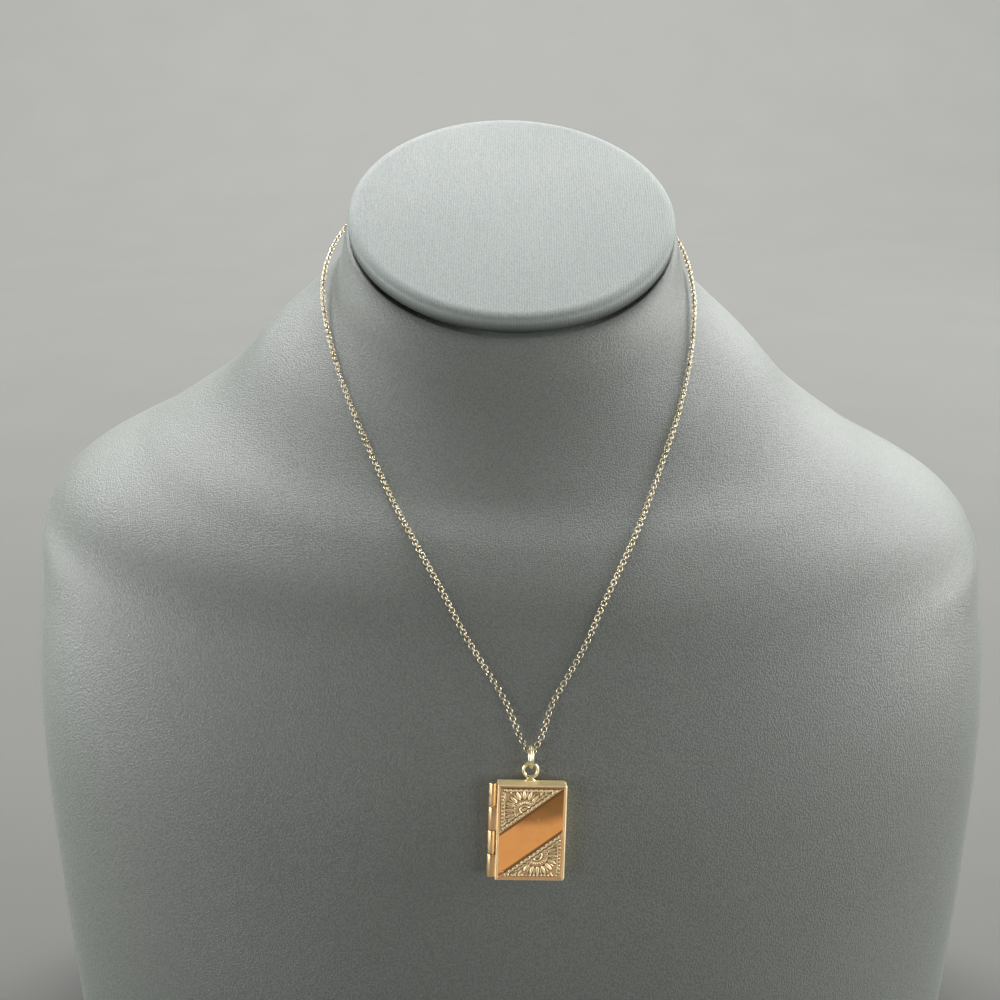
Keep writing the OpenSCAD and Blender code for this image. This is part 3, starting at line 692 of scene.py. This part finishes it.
# The sides are full: they bulge by up to 0.2 mm between the two edges, as a parabola. A tray's
# profile runs from the middle of its face, round the edge and the lip, to the middle of its inside.
SIDE_SWELL, SIDE_EDGE, MIDDLE_INSET, COVER_CORNERS = 0.20, 0.1, 6.5, (0.12, 0.5)
swell = [(-SIDE_SWELL * (1 - ((depth - cover_deep / 2) / (cover_deep / 2 - SIDE_EDGE)) ** 2), depth)
         for depth in np.linspace(SIDE_EDGE, cover_deep - SIDE_EDGE, 11)]
back_edge = [(MIDDLE_INSET, 0), (0.30, 0), (0.12, 0.01), (0.04, 0.04)]
tray_inside = [(0.02, cover_deep - 0.03), (0.07, cover_deep), (SHEET - 0.06, cover_deep),
               (SHEET, cover_deep - 0.06), (SHEET, SHEET + 0.15), (SHEET + 0.15, SHEET),
               (MIDDLE_INSET, SHEET)]
back_tray = card_stack(COVER_WIDE, COVER_TALL, COVER_CORNERS, back_edge + swell + tray_inside,
                       cover_left, cover_top, back_face, -1)
bail = oval_ring(BAIL_ACROSS, BAIL_ACROSS, BAIL_WIRE, BAIL_COLUMNS, BAIL_SIDES)
bail = bail[..., [0, 2, 1]] + (0, 0, bail_at)
# The bail's foot: superellipses that narrow as they rise from the tray's top into the ring. Columns:
# height, and half sizes across and deep.
foot_rows = np.array([[-0.30, 1.15, 0.375], [0.12, 1.15, 0.375], [0.32, 1.05, 0.375], [0.52, 0.84, 0.37],
                      [0.74, 0.62, 0.34], [0.90, 0.40, 0.25]])
FOOT_COLUMNS, FOOT_POWER = 32, 0.6
v = round_steps(FOOT_COLUMNS)
foot_x, foot_y = squared(np.cos(v), FOOT_POWER), squared(np.sin(v), FOOT_POWER)
bail_foot = np.stack([foot_rows[:, 1:2] * foot_x, foot_rows[:, 2:3] * foot_y,
                      np.repeat(cover_top + foot_rows[:, :1], FOOT_COLUMNS, 1)], -1)
back_points, back_faces = join_shells([stack_shell(back_tray), loop_shell(bail), stack_shell(bail_foot)]
                                      + knuckle_shells(0, 1) + knuckle_shells(2, 1))
# The knuckles are redder than the tray and the bail, as on the front half, and only the tray is satin
number = np.arange(len(back_points))
tray_count = back_tray[..., 0].size
pale_count = tray_count + bail[..., 0].size + bail_foot[..., 0].size
back_half = make_piece("book_back", on_book(back_points), back_faces,
                       [("shade", np.where(number < pale_count, 0.1, 0.9)), ("satin", number < tray_count)])
back_half.data.set_sharp_from_angle(angle=math.radians(40))
case_gold = gold("case_gold", (0.98, 0.87, 0.52), (0.93, 0.64, 0.36), 0.30, (3000.0, 3000.0, 9000.0), 0.2,
                 shade="shade", satin="satin")[0]
back_half.data.materials.append(case_gold)
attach(back_half, "stand")
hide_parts("locket_back")

# Front half of the book
# The same pressed tray with a thin raised border round a sunk panel. Two corners of the panel are
# stamped with roped edges, a shell-like fan and leaves, and a plain polished band runs between them.
PANEL_INSET, PANEL_DROP, GROOVE_DROP, ORNAMENT_INSET = 0.60, 0.22, 0.27, 0.72
CORNER_LONG, CORNER_SHORT = 13.3, 10.0
inner_slope = [(MIDDLE_INSET, GROOVE_DROP), (0.62, GROOVE_DROP), (0.54, 0.22), (0.42, 0.15), (0.34, 0.05),
               (0.28, 0.01), (0.22, 0)]
front_edge = inner_slope + [(0.12, 0.01), (0.04, 0.05)]
front_tray = card_stack(COVER_WIDE, COVER_TALL, COVER_CORNERS, front_edge + swell + tray_inside,
                        cover_left, cover_top, front_face, 1)


def ridge(distance, half):
    """Round ridge: sqrt(1 - (distance / half) ^ 2) inside its half width, and 0 outside."""
    return np.sqrt(np.clip(1 - (distance / half) ** 2, 0, None))


def rise(value, width):
    """Smooth step from 0 to 1 as a value goes from 0 to width: 3 f ^ 2 - 2 f ^ 3."""
    f = np.clip(value / width, 0, 1)
    return f * f * (3 - 2 * f)


def rope_line(distance, length, half):
    """Twisted rope: a round ridge whose line waves as a sine along its length, crossed by slanted
    strands."""
    wave_height, wave_length, strand_pitch = 0.09, 1.1, 0.55
    waved = distance - wave_height * np.sin(2 * math.pi * length / wave_length)
    strands = np.abs(np.sin(math.pi * (length / strand_pitch + waved / (2 * half))))
    return ridge(waved, half) * (0.6 + 0.4 * strands)


def dot_line(distance, length, pitch, radius):
    """Row of round dots: each is a ridge of the distance from its middle."""
    return ridge(np.hypot(distance, (length + pitch / 4) % pitch - pitch / 2), radius)


def leaf_shape(t, d, start, angle, long, wide):
    """Leaf from a start point along an angle in degrees: half width = wide * sin(pi * f ^ 0.7) with f
    from 0 at its stalk to 1 at its tip, round in section, with a sunk vein along its middle."""
    c, s = math.cos(math.radians(angle)), math.sin(math.radians(angle))
    a = (t - start[0]) * c + (d - start[1]) * s
    b = (d - start[1]) * c - (t - start[0]) * s
    b = b - 0.12 * np.sin(math.pi * a / long) * (1 if angle < 90 else -1)
    f = np.clip(a / long, 0, 1)
    width = wide * np.sin(math.pi * f ** 0.7) + 1e-4
    return ridge(b, width) * (a > 0) * (a < long) * (1 - 0.45 * np.exp(-(b / 0.055) ** 2))


def stamped_corner(u, w, roped):
    """Height of a stamped corner, with its right angle at (0, 0), its long side along u and its short
    side along w, and the distance inside its slanted side. t runs along that side from its lower end,
    and d is that distance. The long side is edged with a rope where roped is true, or with dots.
    Heights and widths are in millimetres, and angles in degrees."""
    slant = math.hypot(CORNER_LONG, CORNER_SHORT)
    d = (CORNER_LONG * CORNER_SHORT - CORNER_SHORT * u - CORNER_LONG * w) / slant
    t = (CORNER_LONG * u - CORNER_SHORT * (w - CORNER_SHORT)) / slant
    inside = rise(np.minimum(np.minimum(u, w), d) + 0.02, 0.12)
    # Ground, grained by two crossed sines
    height = 0.035 + 0.010 * np.sin(u * 21) * np.sin(w * 19 + 2 * np.sin(u * 3))
    edging = rope_line(w - 0.45, u, 0.27) if roped else dot_line(w - 0.40, u, 0.80, 0.25)
    parts = [0.25 * edging * (u > 0.6) * (d > 0.55),
             0.18 * dot_line(u - 0.38, w, 0.80, 0.25) * (w > 0.9) * (d > 0.9),
             0.27 * rope_line(d - 0.46, t, 0.27) * (t > 0.9) * (t < slant - 1.1),
             0.08 * ridge(d - 0.08, 0.09), 0.09 * ridge(u - 0.80, 0.10) * (w > 0.9) * (d > 1.0),
             0.15 * rope_line(d - 1.14, t, 0.15) * (t > 1.8) * (t < 13.2)]
    # Fan on the slanted side: a dome, an arc, fine ribs that spread, and long petals beyond them with
    # small ones between
    fan_t, fan_d, petals, petal_pitch = 7.3, 1.05, 8, 21.7
    a, b = t - fan_t, d - fan_d
    reach, turn = np.hypot(a, b), np.degrees(np.arctan2(b, a))
    upper = b > 0.0
    ribs = rise(reach - 1.34, 0.12) * rise(2.12 - reach, 0.15) * np.abs(np.cos(np.radians(turn) * 12)) ** 0.8
    parts += [0.12 * ridge(reach, 0.62) * upper, 0.28 * ridge(reach - 1.02, 0.22) * upper,
              0.14 * ribs * upper, 0.11 * ridge(reach - 2.26, 0.11) * upper]
    for k in range(petals):
        away = np.radians(turn - 13 - petal_pitch * k) * reach
        f = np.clip((reach - 2.42) / 2.05, 0, 1)
        width = 0.44 * np.sin(math.pi * f ** 0.8) ** 0.6 + 1e-4
        parts.append(0.32 * ridge(away, width) * upper * (1 - 0.4 * np.exp(-(away / 0.07) ** 2)))
        away = np.radians(turn - 23.8 - petal_pitch * k) * reach
        f = np.clip((reach - 2.55) / 1.75, 0, 1)
        parts.append(0.17 * ridge(away, 0.24 * np.sin(math.pi * f) + 1e-4) * upper)
    # Leaves towards both ends of the slanted side and into the right angle
    for start, angle, long, wide in (((11.8, 1.65), 14, 1.5, 0.26), ((12.9, 1.45), 4, 1.5, 0.22),
                                     ((12.1, 2.35), 8, 0.9, 0.2), ((2.9, 1.6), 172, 1.3, 0.24),
                                     ((5.3, 5.7), 118, 0.9, 0.24), ((7.1, 5.75), 62, 0.9, 0.22)):
        parts.append(0.20 * leaf_shape(t, d, start, angle, long, wide))
    return inside * (height + np.max(parts, axis=0)), inside, d


def box_blur(field, half):
    """Mean of a field over a square of 2 * half + 1 cells, from running sums along each axis."""
    for axis in (0, 1):
        pad = [(half + 1, half) if k == axis else (0, 0) for k in (0, 1)]
        sums = np.cumsum(np.pad(field, pad, mode="edge"), axis=axis)
        sums = np.moveaxis(sums, axis, 0)
        field = np.moveaxis((sums[2 * half + 1:] - sums[:-2 * half - 1]) / (2 * half + 1), 0, axis)
    return field


PANEL_ROWS, PANEL_COLUMNS = 332, 228
across = np.linspace(PANEL_INSET, COVER_WIDE - PANEL_INSET, PANEL_COLUMNS)
down = np.linspace(PANEL_INSET, COVER_TALL - PANEL_INSET, PANEL_ROWS)
down, across = np.meshgrid(down, across, indexing="ij")
first_height, first_inside, first_edge = stamped_corner(across - ORNAMENT_INSET, down - ORNAMENT_INSET, True)
second_height, second_inside, second_edge = stamped_corner(COVER_WIDE - ORNAMENT_INSET - across,
                                                           COVER_TALL - ORNAMENT_INSET - down, False)
stamped = np.clip(first_inside + second_inside, 0, 1)
# The plain band is slightly full in the middle, the product of two parabolas, rolls down to both
# stamped corners, and has two small dents
fullness = 0.06 * (1 - ((across / COVER_WIDE - 0.5) * 2) ** 2) * (1 - ((down / COVER_TALL - 0.5) * 2) ** 2)
fullness = fullness - 0.015 * (1 - rise(-first_edge, 0.5)) - 0.06 * (1 - rise(-second_edge, 0.6))
dents = (0.06 * ridge(np.hypot(across - 9.2, down - 7.6), 0.16)
         + 0.09 * ridge(np.hypot(across - 1.6, down - 19.2), 0.22))
panel_height = fullness + first_height + second_height - dents
LEVEL_CELLS, HOLLOW_FULL, CREST_FULL = 6, 0.085, 0.06
level = box_blur(panel_height, LEVEL_CELLS)
# Old polish darkens the hollows of the stamped corners. Shade is painted as dark lines along both slanted
# edges of the band, the lower one more. Crests are what stands above the level round it.
patina_and_shade = np.clip((level - panel_height) / HOLLOW_FULL, 0, 1) * stamped
# Painted shade: dark lines along the band's lower and upper slanted edges
patina_and_shade = np.maximum(patina_and_shade, 0.75 * np.exp(-((second_edge + 0.12) / 0.15) ** 2))
patina_and_shade = np.maximum(patina_and_shade, 0.30 * np.exp(-((first_edge + 0.08) / 0.11) ** 2))
# Painted highlight: the crests are painted pale, partly as wear-polished high spots
crest_highlight = np.clip((panel_height - level) / CREST_FULL, 0, 1) * stamped
# A rim of points round the panel goes 0.12 mm deeper, into the tray's sheet, and closes it below
RIM_DEEPER = 0.12
edge = np.pad(np.zeros_like(across), 1, constant_values=1)
panel_depth = np.where(edge > 0, PANEL_DROP + RIM_DEEPER, np.pad(PANEL_DROP - panel_height, 1, mode="edge"))
panel = np.stack([cover_left + np.pad(across, 1, mode="edge"), front_face + panel_depth,
                  cover_top - np.pad(down, 1, mode="edge")], -1)
rows, columns = panel.shape[:2]
number = np.arange(rows * columns).reshape(rows, columns)
panel_quads = np.stack([number[:-1, :-1], number[1:, :-1], number[1:, 1:], number[:-1, 1:]],
                       -1).reshape(-1, 4)
panel_end = np.concatenate([number[0, :], number[1:, -1], number[-1, -2::-1], number[-2:0:-1, 0]]).tolist()
panel_shell = (panel.reshape(-1, 3), panel_quads, [panel_end])
front_shells = [panel_shell, stack_shell(front_tray)] + knuckle_shells(1, -1) + knuckle_shells(3, -1)
front_points, front_faces = join_shells(front_shells)
spare = len(front_points) - rows * columns
# The border's inner slope has the stamped corners' colour, and its rim and the tray's sides are painted pale
# as a highlight
in_slope = np.arange(spare) < len(inner_slope) * len(front_tray[0])
on_tray = np.arange(spare) < len(front_tray) * len(front_tray[0])
groove, rim_highlight = np.where(in_slope, 0.3, 0.0), np.where(on_tray & ~in_slope, 0.7, 0.0)


def with_spare(field, edge_value, spare_values):
    """Values for the panel's points with its rim, followed by those of the rest of the front half."""
    rimmed = np.pad(field, 1, constant_values=edge_value)
    return np.concatenate([rimmed.ravel(), np.zeros(spare) + spare_values])


front_half = make_piece("book_front", on_book(front_points), front_faces,
                        [("patina_and_shade", with_spare(patina_and_shade, 0.4, groove)),
                         ("crest_highlight", with_spare(crest_highlight, 0.0, rim_highlight)),
                         ("stamped", with_spare(stamped, 0.5, 1.0)),
                         ("satin", with_spare(stamped, 0.5, np.where(on_tray, 1.4, 0.6)))])
front_half.data.set_sharp_from_angle(angle=math.radians(50))
cover_gold, tree, shader = gold("cover_gold", (0.96, 0.46, 0.16), (0.93, 0.42, 0.13), 0.06,
                                (7000.0, 7000.0, 2500.0), 0.06, satin="satin")
# The stamped corners are yellower than the rose band. Their crests are painted pale as a highlight, partly
# as wear would keep them, old polish darkens their hollows, and shade is painted along the band's edges.
band_colour = shader.inputs["Base Color"].links[0].from_socket
stamped_share, crest_highlight_share, patina_and_shade_share = [
    add_node(tree, "ShaderNodeAttribute", attribute_name=name).outputs["Fac"]
    for name in ("stamped", "crest_highlight", "patina_and_shade")]
ground = mix_colours(tree, stamped_share, band_colour, (0.93, 0.62, 0.33))
crest_highlighted = mix_colours(tree, crest_highlight_share, ground, (1.0, 0.93, 0.62))
tree.links.new(mix_colours(tree, patina_and_shade_share, crest_highlighted, (0.38, 0.20, 0.09)), shader.inputs["Base Color"])
front_half.data.materials.append(cover_gold)
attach(front_half, "front_cover")
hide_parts("locket_front")

# Hinge pin
# A drawn gold wire through the four knuckles, trimmed flush and lightly burnished at its ends.
pin_gold = gold("pin_gold", (0.92, 0.74, 0.42), (0.80, 0.55, 0.28), 0.28, (9000.0, 9000.0, 1500.0), 0.3)[0]
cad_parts["hinge_pin"].data.materials.clear()
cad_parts["hinge_pin"].data.materials.append(pin_gold)
